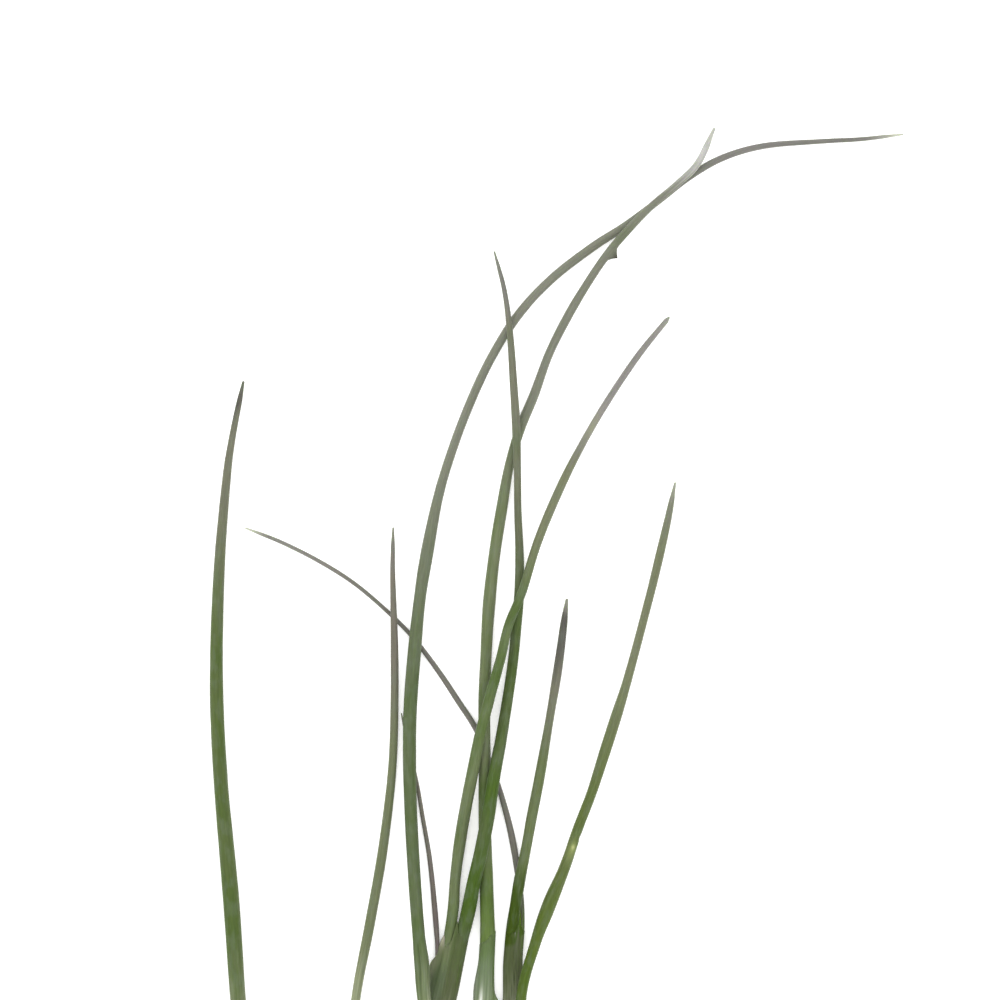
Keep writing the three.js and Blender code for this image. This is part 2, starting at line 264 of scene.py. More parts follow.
def leaf(name, route, seed, ribs=11, dry=DRY_LENGTH, point=POINT_LENGTH, marks=(), lush=()):
    """One leaf as a hollow tube. A lush stretch is (y, reach, strength), where it is a deeper green."""
    stations, distance = walk(route, RING_SPACING)
    total = distance[-1]
    narrowing = ease(distance, total - point, total + POINT_PAST * point)
    width = stations[:, 3] * (1 - (1 - POINT_WIDTH) * narrowing)
    lift = np.maximum(stations[:, 2], 0)
    dryness = ease(distance, total - dry, total)
    flatness = FULL_FLATNESS - (FULL_FLATNESS - DRY_FLATNESS) * dryness
    angles = np.linspace(0, 2 * math.pi, LEAF_SIDES, endpoint=False)
    turn = RIB_TWIST * drift(distance, seed, TWIST_LENGTH)
    rib = RIB_LEVEL - 0.5 * np.cos(ribs * (angles[None, :] + turn[:, None]))
    depth = RIB_DEPTH + (DRY_RIB_DEPTH - RIB_DEPTH) * dryness
    fullness = 1 + SWELL / 2 * drift(distance, seed + 1, SWELL_LENGTH)
    radius = (width / 2 * fullness)[:, None] * (1 - depth[:, None] * rib)
    flatness = flatness * width / 2 / radius.max(axis=1)
    centres = np.column_stack([stations[:, :2], lift + flatness * radius.max(axis=1)])
    ahead, right, up = directions(centres)
    radius, tint = marked(radius, stations, distance, angles, marks)
    greener = 0 * distance
    for y, reach, strength in lush:
        greener = np.maximum(greener, strength * np.exp(-(((stations[:, 1] - y) / reach) ** 2)))

    def ring(i, sizes, ahead_by=0.0):
        sideways = (sizes * np.cos(angles))[:, None] * right[i]
        upward = (sizes * np.sin(angles) * flatness[i])[:, None] * up[i]
        return centres[i] + sideways + upward + np.reshape(ahead_by, (-1, 1)) * ahead[i]

    rows = []
    placed = []  # station, sizes, inside and tint of each row
    uneven = CUT_UNEVENNESS * (0.5 + 0.5 * np.sin(2 * angles + seed))
    wall = min(LEAF_WALL, MOST_WALL * width[0])
    bore_end = round(min(BORE_DEPTH, MOST_BORE * total) / RING_SPACING)
    step = round(BORE_RING_SPACING / RING_SPACING)
    for i in range(bore_end, -1, -step):
        near_cut = uneven if i < step else 0.0
        rows.append(ring(i if i >= step else 0, radius[i] - wall, near_cut))
        placed.append((i, radius[i] - wall, 1, tint[i]))
    for i in range(len(stations)):
        rows.append(ring(i, radius[i], uneven if i == 0 else 0.0))
        placed.append((i, radius[i], 0, tint[i]))
    last = len(stations) - 1
    for share in TIP_ROUNDING:
        sizes = radius[last] * math.sqrt(1 - share**2)
        rows.append(ring(last, sizes, share * width[last] / 2))
        placed.append((last, sizes, 0, tint[last]))

    shares = np.array([[distance[i] / total] * LEAF_SIDES for i, _, _, _ in placed])
    grain = np.array([grain_of(sizes, angles, distance[i], seed) for i, sizes, _, _ in placed])
    inside = np.array([[within] * LEAF_SIDES for _, _, within, _ in placed], float)
    tints = np.array([colour for _, _, _, colour in placed])
    greens = np.array([[greener[i]] * LEAF_SIDES for i, _, _, _ in placed])
    values = {"along": shares, "grain": grain, "inside": inside, "tint": tints, "lush": greens}
    return closed_skin(name, np.array(rows), values)


def paint(hex_tone):
    """A colour for a shader socket from the 0xRRGGBB that a screen shows."""
    screen = [(hex_tone >> shift & 255) / 255 for shift in (16, 8, 0)]
    return (*(c / 12.92 if c <= 0.04045 else ((c + 0.055) / 1.055) ** 2.4 for c in screen), 1)


def put(tree, kind, inputs=None, **settings):
    """A new node with its settings. inputs are values, or sockets to link, by input name or number."""
    new = tree.nodes.new(kind)
    for key, value in settings.items():
        setattr(new, key, value)
    for key, value in (inputs or {}).items():
        if isinstance(value, bpy.types.NodeSocket):
            tree.links.new(value, new.inputs[key])
        else:
            new.inputs[key].default_value = value
    return new


def mixed(tree, share, first, second, how="MIX"):
    """first turned into second by share, as a colour."""
    settings = {"data_type": "RGBA", "blend_type": how}
    return put(tree, "ShaderNodeMix", {0: share, 6: first, 7: second}, **settings).outputs[2]


def sums(tree, how, first, second=0.0, third=0.0):
    """One step of arithmetic."""
    return put(tree, "ShaderNodeMath", {0: first, 1: second, 2: third}, operation=how).outputs[0]


def rises(tree, value, low, high, start=0.0, end=1.0):
    """start below low, end above high, and a smooth change between."""
    inputs = {"Value": value, "From Min": low, "From Max": high, "To Min": start, "To Max": end}
    return put(tree, "ShaderNodeMapRange", inputs, interpolation_type="SMOOTHSTEP").outputs["Result"]


def mottle(tree, grain, per_mm, detail=2.0):
    """Uneven patches on a surface. per_mm is how many fit in a mm, around the piece and along it."""
    around, along = per_mm
    scale = (around, around, along)
    stretched = put(tree, "ShaderNodeVectorMath", {0: grain, 1: scale}, operation="MULTIPLY").outputs[0]
    noise = put(tree, "ShaderNodeTexNoise", {"Vector": stretched, "Scale": 1.0, "Detail": detail})
    return noise.outputs["Fac"]


def corner_value(tree, key, output="Fac"):
    """What a skin keeps under that name at each of its corners."""
    return put(tree, "ShaderNodeAttribute", attribute_name=key).outputs[output]


def group_of(name, colours, numbers, results):
    """An empty node group with those inputs and results, and its two end nodes."""
    tree = bpy.data.node_groups.new(name, "ShaderNodeTree")
    for kind, inputs in (("NodeSocketColor", colours), ("NodeSocketFloat", numbers)):
        for key, start in inputs.items():
            tree.interface.new_socket(name=key, in_out="INPUT", socket_type=kind).default_value = start
    for key, kind in results.items():
        tree.interface.new_socket(name=key, in_out="OUTPUT", socket_type=kind)
    return tree, tree.nodes.new("NodeGroupInput").outputs, tree.nodes.new("NodeGroupOutput")


# The tones of a chive's skin, from its cut foot to its dry tip.
FOOT_PALE = paint(0xB5BA9C)
FOOT_GREY = paint(0xB6B3A6)
DARKEST_GREEN = paint(0x2E4000)
FRESH_GREEN = paint(0x374D0F)
DARK_GREEN = paint(0x43502B)
LEAF_GREEN = paint(0x46532B)
OLIVE_GREEN = paint(0x49571D)
WARM_OLIVE = paint(0x4F5A2E)
BRIGHT_GREEN = paint(0x50622F)
HERB_GREEN = paint(0x4B5639)
LIGHT_GREEN = paint(0x555F3D)
SOFT_GREEN = paint(0x60674C)
WARM_GREEN = paint(0x596343)
GREY_GREEN = paint(0x5C6248)
BEIGE_GREY = paint(0x63634F)
DULL_GREEN = paint(0x606052)
YELLOW_GREY = paint(0x62654F)
PALE_OLIVE = paint(0x68695E)
PURPLE_DARK = paint(0x5D5553)
PURPLE_GREY = paint(0x615C5A)
WILTED_GREY = paint(0x605C53)
DRY_GREY = paint(0x625F5A)
SILVER_GREY = paint(0x676562)
PALE_GREY = paint(0x716E6B)
LIGHT_GREY = paint(0x767371)
DARK_TIP = paint(0x4A4843)
DRY_PALE = paint(0xA3A2A2)
POINT_PALE = paint(0xA19F98)
YELLOW_SPOT_AND_HIGHLIGHT = paint(0x999F69)
DARK_BROWN_AND_FOLD_SHADE = paint(0x231F16)
INSIDE_PALE = paint(0xC6CFA4)
WAX_GREY = paint(0x656F62)
VEIN_SHADE = (0.72, 0.75, 0.66, 1)  # darkens the broad veins
VEIN_LIGHT = (1.45, 1.42, 1.35, 1)  # lightens the fine ones

# How many of each fit in a mm, around and along the leaf, and where in the mottle they start and end.
STREAKS, STREAK_EDGE = (1.7, 0.05), (0.35, 0.65)
FINE_STREAKS, FINE_STREAK_EDGE = (5.0, 0.18), (0.42, 0.66)
PATCHES, PATCH_EDGE = (0.35, 0.09), (0.42, 0.64)
CLOUDS, CLOUD_EDGE = (0.8, 0.3), (0.42, 0.68)
PORES = (9.0, 4.0)

# Places along a leaf, as shares of its length from the cut.
FOOT_FROM = 0.04
LOW_BLEND = 0.08  # how gradually the low tone ends
TONE_RAGGEDNESS = 0.08  # how far the streaks run on where one tone meets the next
POINT_EDGE = (0.97, 1.0)

# How dull a skin is, how much duller its clouds and its wax are, and how high the finer marks stand
# against the broad streaks.
SKIN_DULLNESS = 0.42
CLOUD_DULLNESS = 0.2
WAX_DULLNESS = 0.3
FINE_STREAK_HEIGHT = 0.7
PORE_HEIGHT = 0.25

SKIN_RESULTS = {
    "Colour": "NodeSocketColor",
    "Roughness": "NodeSocketFloat",
    "Height": "NodeSocketFloat",
}

chive_skin, given, result = group_of(
    "chive_skin",
    {"Foot": FOOT_PALE, "Low": LEAF_GREEN, "Body": LEAF_GREEN, "Upper": DULL_GREEN, "Tip": DRY_GREY,
     "Fresh": FRESH_GREEN},
    {"Foot To": 0.2, "Low To": 0.0, "Upper From": 0.62, "Upper To": 0.9, "Dry From": 0.92,
     "Dry To": 0.98, "Veins": 0.35, "Bloom": 0.2, "Fresh Share": 0.4, "Pale Point": 0.4},
    SKIN_RESULTS,
)
along = corner_value(chive_skin, "along")
grain = corner_value(chive_skin, "grain", "Vector")
inside = corner_value(chive_skin, "inside")
tint = corner_value(chive_skin, "tint")
lush = corner_value(chive_skin, "lush")

streaks = mottle(chive_skin, grain, STREAKS)
fine_streaks = mottle(chive_skin, grain, FINE_STREAKS)
patches = mottle(chive_skin, grain, PATCHES)
clouds = mottle(chive_skin, grain, CLOUDS, 3.0)
pores = mottle(chive_skin, grain, PORES, 1.0)

uneven = sums(chive_skin, "SUBTRACT", streaks, 0.5)
ragged = sums(chive_skin, "MULTIPLY_ADD", uneven, TONE_RAGGEDNESS, along)
low_end = sums(chive_skin, "ADD", given["Low To"], LOW_BLEND)
past_low = rises(chive_skin, ragged, given["Low To"], low_end)
tone = mixed(chive_skin, past_low, given["Low"], given["Body"])
past_foot = rises(chive_skin, ragged, FOOT_FROM, given["Foot To"])
tone = mixed(chive_skin, past_foot, given["Foot"], tone)
lively = rises(chive_skin, patches, *PATCH_EDGE, 0.0, given["Fresh Share"])
tone = mixed(chive_skin, lively, tone, given["Fresh"])
upper = rises(chive_skin, ragged, given["Upper From"], given["Upper To"])
tone = mixed(chive_skin, upper, tone, given["Upper"])
dried = rises(chive_skin, ragged, given["Dry From"], given["Dry To"])
tone = mixed(chive_skin, dried, tone, given["Tip"])
tone = mixed(chive_skin, lush, tone, given["Fresh"])
bleached = rises(chive_skin, along, *POINT_EDGE, 0.0, given["Pale Point"])
tone = mixed(chive_skin, bleached, tone, POINT_PALE)
veined = rises(chive_skin, streaks, *STREAK_EDGE, 0.0, given["Veins"])
tone = mixed(chive_skin, veined, tone, VEIN_SHADE, "MULTIPLY")
fine_veined = rises(chive_skin, fine_streaks, *FINE_STREAK_EDGE, 0.0, given["Veins"])
tone = mixed(chive_skin, fine_veined, tone, VEIN_LIGHT, "MULTIPLY")
waxy = rises(chive_skin, clouds, *CLOUD_EDGE, 0.0, given["Bloom"])
tone = mixed(chive_skin, waxy, tone, WAX_GREY)
# Above zero the tint turns pale yellow: a pale patch on the centre bent leaf, and a painted highlight on
# the right outer leaf's crease.
spotted = sums(chive_skin, "MAXIMUM", tint, 0.0)
tone = mixed(chive_skin, spotted, tone, YELLOW_SPOT_AND_HIGHLIGHT)
# Below zero the tint turns dark brown: the knot's own colour, and painted shade in a fold.
browned_and_fold_shade = sums(chive_skin, "MAXIMUM", sums(chive_skin, "MULTIPLY", tint, -1.0), 0.0)
tone = mixed(chive_skin, browned_and_fold_shade, tone, DARK_BROWN_AND_FOLD_SHADE)
tone = mixed(chive_skin, inside, tone, INSIDE_PALE)
chive_skin.links.new(tone, result.inputs["Colour"])
dull = sums(chive_skin, "MULTIPLY_ADD", clouds, CLOUD_DULLNESS, SKIN_DULLNESS)
dull = sums(chive_skin, "MULTIPLY_ADD", waxy, WAX_DULLNESS, dull)
chive_skin.links.new(dull, result.inputs["Roughness"])
relief = sums(chive_skin, "MULTIPLY_ADD", fine_streaks, FINE_STREAK_HEIGHT, streaks)
relief = sums(chive_skin, "MULTIPLY_ADD", pores, PORE_HEIGHT, relief)
chive_skin.links.new(relief, result.inputs["Height"])

RELIEF_STRENGTH = 0.35
RELIEF_HEIGHT = 0.05
GLOSS = 0.12
BLOOM_SHEEN = 0.05  # greys the edges of a round skin, as a waxy dust does
SHEEN_ROUGHNESS = 0.4
SOAKED_LIGHT = 0.3  # how much of the light soaks through the thin skin
SOAK_TONES = (0.6, 1.0, 0.3)  # it comes out greener
SOAK_DEPTH = 1.2


def skin_material(name, group, choices):
    """A material with its colour, roughness and relief from a skin group, given its own choices."""
    material = bpy.data.materials.new(name)
    material.use_nodes = True
    tree = material.node_tree
    shader = tree.nodes["Principled BSDF"]
    skin = put(tree, "ShaderNodeGroup", node_tree=group)
    for key, value in choices.items():
        skin.inputs[key].default_value = value
    relief = put(tree, "ShaderNodeBump", {
        "Height": skin.outputs["Height"], "Strength": RELIEF_STRENGTH, "Distance": RELIEF_HEIGHT * MM,
    })
    tree.links.new(skin.outputs["Colour"], shader.inputs["Base Color"])
    tree.links.new(skin.outputs["Roughness"], shader.inputs["Roughness"])
    tree.links.new(relief.outputs["Normal"], shader.inputs["Normal"])
    shader.inputs["Specular IOR Level"].default_value = GLOSS
    shader.inputs["Sheen Weight"].default_value = BLOOM_SHEEN
    shader.inputs["Sheen Roughness"].default_value = SHEEN_ROUGHNESS
    shader.inputs["Subsurface Weight"].default_value = SOAKED_LIGHT
    shader.inputs["Subsurface Radius"].default_value = SOAK_TONES
    shader.inputs["Subsurface Scale"].default_value = SOAK_DEPTH * MM
    return material


def finish(piece, material, node):
    """Gives a piece its material, and puts it in its node's place."""
    piece.data.materials.append(material)
    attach(piece, "root")
    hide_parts(node)


finish(
    leaf("far_left_leaf", FAR_LEFT_ROUTE, seed=1, ribs=13),
    skin_material("far_left_skin", chive_skin, {
        "Foot": FOOT_GREY, "Tip": DARK_TIP, "Foot To": 0.36, "Upper From": 0.67, "Dry From": 0.94,
        "Pale Point": 0.1,
    }),
    "leaf_far_left",
)

# ----------------------------------------------------------------------------------------------------
# Left upright leaf
# A slim hollow leaf that leans to the right and lies across the fine arching leaf. It is greyer than the
# others and dries to a purple grey over its upper third.
# ----------------------------------------------------------------------------------------------------
LEFT_UPRIGHT_ROUTE = [
    [-44.7, -122.3, 0, 2], [-46.2, -105.8, 0, 2.05], [-46, -87.1, 0, 2.1], [-44.3, -69.1, 0, 2.05],
    [-41.3, -53.2, 0, 2.2], [-38.3, -35.9, 0, 2.15], [-36.3, -18.5, 0, 1.85], [-35.8, -3.5, 0.3, 1.8],
    [-35.8, 7.9, 1.2, 1.7], [-36, 16.7, 1.35, 1.4], [-36.2, 25.5, 1, 1.1], [-36.1, 34.3, 0.8, 0.8],
]

finish(
    leaf("left_upright_leaf", LEFT_UPRIGHT_ROUTE, seed=2, ribs=9),
    skin_material("left_upright_skin", chive_skin, {
        "Body": GREY_GREEN, "Upper": WILTED_GREY, "Tip": DRY_GREY, "Foot To": 0.47, "Upper From": 0.66,
        "Upper To": 0.84, "Dry To": 0.95, "Fresh Share": 0.1, "Pale Point": 0.15,
    }),
    "leaf_left_upright",
)

# ----------------------------------------------------------------------------------------------------
# Tall arching leaf
# The longest leaf. It climbs over the sheath beside it, lies across two leaves, and bows over to the
# right at its top until it runs level. Its long thin tip has dried grey.
# ----------------------------------------------------------------------------------------------------
TALL_ARCHING_ROUTE = [
    [-24.4, -122.3, 0, 2.8], [-24, -108, 0.3, 2.9], [-25.1, -93.7, 2.6, 3], [-27.1, -80.5, 4.4, 3],
    [-29.2, -69.1, 3.9, 3.1], [-29.8, -61, 3, 3.3], [-30.55, -54, 2, 2.8], [-31.65, -38.7, 1.3, 2.85],
    [-32.35, -23.3, 1.2, 2.85], [-32.4, -7.9, 1.2, 3], [-31.55, 5.3, 1.4, 3], [-30.25, 18.5, 1.2, 2.65],
    [-28.5, 29.5, 0.6, 2.85], [-26.2, 41.1, 0, 2.2], [-23.1, 51.5, 0, 2], [-19.1, 62, 0, 2],
    [-14.45, 71.9, 0, 1.95], [-8.6, 81.2, 0, 1.95], [-1.3, 89.1, 0, 1.95], [7.7, 96.1, 0, 1.95],
    [14.7, 100.65, 0, 1.75], [22.1, 106.2, 0, 1.55], [29.4, 111.85, 0, 1.55], [36.8, 116, 0, 1.45],
    [45.8, 118.5, 0, 1.3], [58.5, 119.5, 0, 1.05], [67.3, 120, 0.1, 0.9], [76.1, 121, 0.4, 0.7],
]

finish(
    leaf(
        "tall_arching_leaf",
        TALL_ARCHING_ROUTE,
        seed=3,
        dry=40,
        # A shallow fold low on the leaf, its shade painted dark brown.
        marks=[(-62, 101, 6, 0.1, -0.14, -0.35)],
    ),
    skin_material("tall_arching_skin", chive_skin, {
        "Body": HERB_GREEN, "Upper": PALE_OLIVE, "Tip": SILVER_GREY, "Foot To": 0.22,
        "Upper From": 0.38, "Upper To": 0.6, "Dry From": 0.82, "Dry To": 0.87, "Fresh Share": 0.35,
        "Pale Point": 0.9,
    }),
    "leaf_tall_arching",
)

# ----------------------------------------------------------------------------------------------------
# Sheath of the tall inner leaf
# A thin papery pipe around the foot of one leaf, wrapped as the leaf grew. It clings to the leaf at its
# mouth, and its left side has torn loose and dried to a grey strip with a white gap beside it.
# ----------------------------------------------------------------------------------------------------
SHEATH_SIDES = 72
SHEATH_RING_SPACING = 0.8
SHEATH_WALL = 0.25
LIP_WALL = 0.04
LIP_LENGTH = 7  # how far below its mouth a sheath starts to slant and thin
LIP_NOTCHES = ((5, 0.18), (13, 0.1))  # how many there are around the lip, and how deep
FILM = 0.05  # room between a leaf and the sheath that clings to it
CLING_LENGTH = 16  # how far below its mouth a sheath starts to follow its leaves
FULL_CLING = 2  # how far below its mouth it follows them fully
LEAST_WAIST = 0.6  # how far in a groove between two leaves may go, as a share of the sheath's own oval
SOFTENINGS = 3  # rounds that ease the corners of that groove
WRINKLES = 17
WRINKLE_DEPTH = 0.025  # share of the sheath's radius
WRINKLE_TWIST = 2  # how far the wrinkles wander around the sheath, in radians
WRINKLE_LENGTH = 45

# A sheath's height and route, and how far aside of its middle a leaf's foot stands and how wide it is.
INNER_SHEATH_HEIGHT = 3.7
INNER_SHEATH_ROUTE = [
    [-18.7, -122.3, 0, 4.2], [-18, -100.3, 0, 4.3], [-17.1, -82.7, 0, 4.4], [-16.1, -69.5, 0, 4.7],
    [-15.6, -61.8, 0, 4.2], [-15.3, -55.9, 0, 3.9],
]
INNER_FOOT = {"aside": 0, "width": 3.4}


def outline(angles, width, height):
    """How far an oval of that width and height reaches at each angle."""
    return 1 / np.sqrt((np.cos(angles) / (width / 2)) ** 2 + (np.sin(angles) / (height / 2)) ** 2)


def around_leaves(angles, feet, oval):
    """How far the leaves' own round sections reach at each angle, and at least a share of the oval."""
    reach = LEAST_WAIST * oval
    for foot in feet:
        size = foot["width"] / 2 + FILM
        nearest = foot["aside"] * np.cos(angles)
        under_root = nearest**2 - foot["aside"] ** 2 + size**2
        exits = np.where(under_root > 0, nearest + np.sqrt(np.maximum(under_root, 0)), 0)
        reach = np.maximum(reach, exits)
    softened = reach
    for _ in range(SOFTENINGS):
        softened = (np.roll(softened, 1) + 2 * softened + np.roll(softened, -1)) / 4
    return softened


def sheath(name, route, height, slant, feet, seed, marks=(), tongues=()):
    """A papery pipe from the cut to a slanting mouth. A tongue is (angle, spread, length), where the
    mouth runs on between two leaves."""
    stations, distance = walk(route, SHEATH_RING_SPACING)
    total = distance[-1]
    centres = np.column_stack([stations[:, :2], 0 * distance + height / 2])
    ahead, right, up = directions(centres)
    angles = np.linspace(0, 2 * math.pi, SHEATH_SIDES, endpoint=False)
    cling = ease(distance, total - CLING_LENGTH, total - FULL_CLING)
    turn = WRINKLE_TWIST * drift(distance, seed, WRINKLE_LENGTH)
    wrinkle = 0.5 - 0.5 * np.cos(WRINKLES * angles[None, :] + turn[:, None])
    radius = []
    for i, width in enumerate(stations[:, 3]):
        oval = outline(angles, width, height)
        clinging = np.minimum(around_leaves(angles, feet, oval), oval)
        radius.append(oval * (1 - cling[i]) + clinging * cling[i])
    radius = np.array(radius) * (1 - WRINKLE_DEPTH * wrinkle)
    radius, tint = marked(radius, stations, distance, angles, marks)

    near_lip = ease(distance, total - LIP_LENGTH, total)
    notched = 0 * angles
    for turns, (notches, deep) in enumerate(LIP_NOTCHES, 1):
        notched = notched + deep * np.sin(notches * angles + turns * seed)
    run_on = slant / 2 * np.cos(angles) + notched
    for angle, spread, length in tongues:
        run_on = run_on + length * np.exp(-(((angles - math.radians(angle)) / spread) ** 2))
    forward = near_lip[:, None] * run_on[None, :]

    def ring(i, sizes):
        sideways = (sizes * np.cos(angles))[:, None] * right[i]
        upward = (sizes * np.sin(angles))[:, None] * up[i]
        return centres[i] + sideways + upward + forward[i][:, None] * ahead[i]

    wall = SHEATH_WALL - (SHEATH_WALL - LIP_WALL) * near_lip
    count = len(stations)
    order = [(i, 0) for i in range(count)] + [(i, 1) for i in range(count - 1, -1, -1)]
    rows = [ring(i, radius[i] - within * wall[i]) for i, within in order]
    shares = np.array([[distance[i] / total] * SHEATH_SIDES for i, _ in order])
    grain = np.array([grain_of(radius[i], angles, distance[i], seed) for i, _ in order])
    inside = np.array([[within] * SHEATH_SIDES for _, within in order], float)
    tints = np.array([tint[i] for i, _ in order])
    sides = np.array([np.cos(angles) for _ in order])
    values = {"along": shares, "side": sides, "grain": grain, "inside": inside, "tint": tints}
    return closed_skin(name, np.array(rows), values, loop=True)


SHEATH_PALE = paint(0xC9CBB6)
SHEATH_GREEN = paint(0x3E4B21)
SHEATH_DULL_GREEN = paint(0x40492A)
SHEATH_OLIVE = paint(0x454D30)
SHEATH_BLUE_GREEN = paint(0x4A563B)
SHEATH_SOFT_GREEN = paint(0x5B694D)
SHEATH_BRIGHT_GREEN = paint(0x50623A)
SHEATH_GREY = paint(0x6C7065)
SHEATH_CREASE_SHADE = paint(0x2B3314)
TORN_WHITE = paint(0xC9CDC0)
MEMBRANE = paint(0x9C9A84)
PAPER_VEIN_SHADE = (0.7, 0.74, 0.62, 1)
FIBRE_LIGHT = (1.4, 1.4, 1.3, 1)

# How many of each fit in a mm, around and along the sheath, and where in the mottle they start and end.
PAPER_VEINS, PAPER_VEIN_EDGE = (2.4, 0.03), (0.45, 0.62)
FIBRES, FIBRE_EDGE = (7.0, 0.12), (0.45, 0.7)
BLOTCHES, BLOTCH_EDGE = (0.6, 0.16), (0.5, 0.7)

# Where one tone turns into the next, from -1 at a sheath's left side to 1 at its right side.
RIGHT_EDGE = (-0.35, 0.2)
RIM_EDGE = (0.7, 0.95)
RIGHT_MOUTH_EDGE = (-0.4, 0.3)
SIDE_RAGGEDNESS = 0.8
# The same along it, as shares of its length from the cut.
GREEN_BLEND = 0.3
MOUTH_TO = 0.97
CUT_RAGGEDNESS = 0.2

INSIDE_PALENESS = 0.6
PAPER_DULLNESS = 0.45
BLOTCH_DULLNESS = 0.3
FIBRE_HEIGHT = 0.8

papery_skin, given, result = group_of(
    "papery_skin",
    {"Cut": SHEATH_PALE, "Left": SHEATH_GREEN, "Right": SHEATH_GREEN, "Rim": SHEATH_GREEN,
     "Mouth": DARK_GREEN, "Left Mouth": DARK_GREEN, "Spot": TORN_WHITE, "Crease Shade And Strip": SHEATH_CREASE_SHADE},
    {"Green From": 0.61, "Mouth From": 0.86, "Veins": 0.25, "Dry Patches": 0.1},
    SKIN_RESULTS,
)
along = corner_value(papery_skin, "along")
side = corner_value(papery_skin, "side")
grain = corner_value(papery_skin, "grain", "Vector")
inside = corner_value(papery_skin, "inside")
tint = corner_value(papery_skin, "tint")

veins = mottle(papery_skin, grain, PAPER_VEINS)
fibres = mottle(papery_skin, grain, FIBRES)
blotches = mottle(papery_skin, grain, BLOTCHES, 3.0)

uneven = sums(papery_skin, "SUBTRACT", veins, 0.5)
across = sums(papery_skin, "MULTIPLY_ADD", uneven, SIDE_RAGGEDNESS, side)
tone = mixed(papery_skin, rises(papery_skin, across, *RIGHT_EDGE), given["Left"], given["Right"])
tone = mixed(papery_skin, rises(papery_skin, across, *RIM_EDGE), tone, given["Rim"])
low = sums(papery_skin, "SUBTRACT", given["Green From"], GREEN_BLEND)
high = sums(papery_skin, "ADD", given["Green From"], GREEN_BLEND)
ragged = sums(papery_skin, "MULTIPLY_ADD", uneven, CUT_RAGGEDNESS, along)
tone = mixed(papery_skin, rises(papery_skin, ragged, low, high), given["Cut"], tone)
right_mouth = rises(papery_skin, side, *RIGHT_MOUTH_EDGE)
mouth = mixed(papery_skin, right_mouth, given["Left Mouth"], given["Mouth"])
tone = mixed(papery_skin, rises(papery_skin, along, given["Mouth From"], MOUTH_TO), tone, mouth)
veined = rises(papery_skin, veins, *PAPER_VEIN_EDGE, 0.0, given["Veins"])
tone = mixed(papery_skin, veined, tone, PAPER_VEIN_SHADE, "MULTIPLY")
fibrous = rises(papery_skin, fibres, *FIBRE_EDGE, 0.0, given["Veins"])
tone = mixed(papery_skin, fibrous, tone, FIBRE_LIGHT, "MULTIPLY")
dried = rises(papery_skin, blotches, *BLOTCH_EDGE, 0.0, given["Dry Patches"])
tone = mixed(papery_skin, dried, tone, SHEATH_GREY)
spotted = sums(papery_skin, "MAXIMUM", tint, 0.0)
tone = mixed(papery_skin, spotted, tone, given["Spot"])
# Below zero the tint turns to the crease colour: painted shade in the shallow dents of the centre and
# right sheaths, and the grey of the inner sheath's torn strip.
crease_shade_and_strip = sums(papery_skin, "MAXIMUM", sums(papery_skin, "MULTIPLY", tint, -1.0), 0.0)
tone = mixed(papery_skin, crease_shade_and_strip, tone, given["Crease Shade And Strip"])
pale_inside = sums(papery_skin, "MULTIPLY", inside, INSIDE_PALENESS)
tone = mixed(papery_skin, pale_inside, tone, SHEATH_PALE)
papery_skin.links.new(tone, result.inputs["Colour"])
dull = sums(papery_skin, "MULTIPLY_ADD", blotches, BLOTCH_DULLNESS, PAPER_DULLNESS)
papery_skin.links.new(dull, result.inputs["Roughness"])
relief = sums(papery_skin, "MULTIPLY_ADD", fibres, FIBRE_HEIGHT, veins)
papery_skin.links.new(relief, result.inputs["Height"])

finish(
    sheath(
        "inner_sheath",
        INNER_SHEATH_ROUTE,
        INNER_SHEATH_HEIGHT,
        slant=3,
        feet=[INNER_FOOT],
        seed=21,
        marks=[
            (-66.5, 172, 3.5, 0.4, 0.4, -0.7), (-70, 112, 3, 0.2, -0.1, 1), (-70.3, 5, 1.6, 0.3, 1.4, 0),
        ],
    ),
    skin_material("inner_sheath_paper", papery_skin, {
        "Left": SHEATH_SOFT_GREEN, "Right": SHEATH_SOFT_GREEN, "Rim": SHEATH_BRIGHT_GREEN,
        "Mouth": SHEATH_BRIGHT_GREEN, "Left Mouth": SHEATH_BRIGHT_GREEN, "Mouth From": 0.9,
        "Crease Shade And Strip": SHEATH_GREY,
    }),
    "sheath_inner",
)

# ----------------------------------------------------------------------------------------------------
# Tall inner leaf
# It stands in the inner sheath, lies under the two centre leaves and over the fine arching one, and
# crosses over the tall arching leaf near its top. Above a small dark knot its tip has dried nearly white.
# ----------------------------------------------------------------------------------------------------
TALL_INNER_ROUTE = [
    [-15.4, -50.2, 0.6, 3.2], [-15.6, -43.1, 0.1, 3.05], [-15.85, -35.4, 0.1, 2.85],
    [-15.95, -27.7, 0.5, 2.75], [-15.95, -19.4, 1.5, 2.7], [-16, -11.2, 1.6, 2.65], [-16, -3.5, 0.7, 2.7],
    [-15.65, 6.4, 0, 2.5], [-15, 17.4, 0, 2.8], [-13.8, 28.4, 0, 2.55], [-12.1, 39.2, 0, 2.5],
    [-10.5, 48.2, 0, 2.1], [-8.1, 56.3, 0, 2.2], [-5.05, 63.7, 0, 2.1], [-1.8, 72.6, 0.2, 1.85],
    [2.4, 81, 0.8, 2], [6.95, 88.6, 1.6, 1.8], [11.3, 94.9, 2.2, 1.8], [16, 100.35, 2.2, 1.75],
    [20.85, 105.25, 2.1, 1.55], [26.3, 109.85, 2, 1.5], [30.9, 114.5, 1.9, 1.55], [34.5, 122.1, 1.8, 1.2],
]
FOOT_STEPS = 8  # measuring steps along a sheath's route, for each of its points


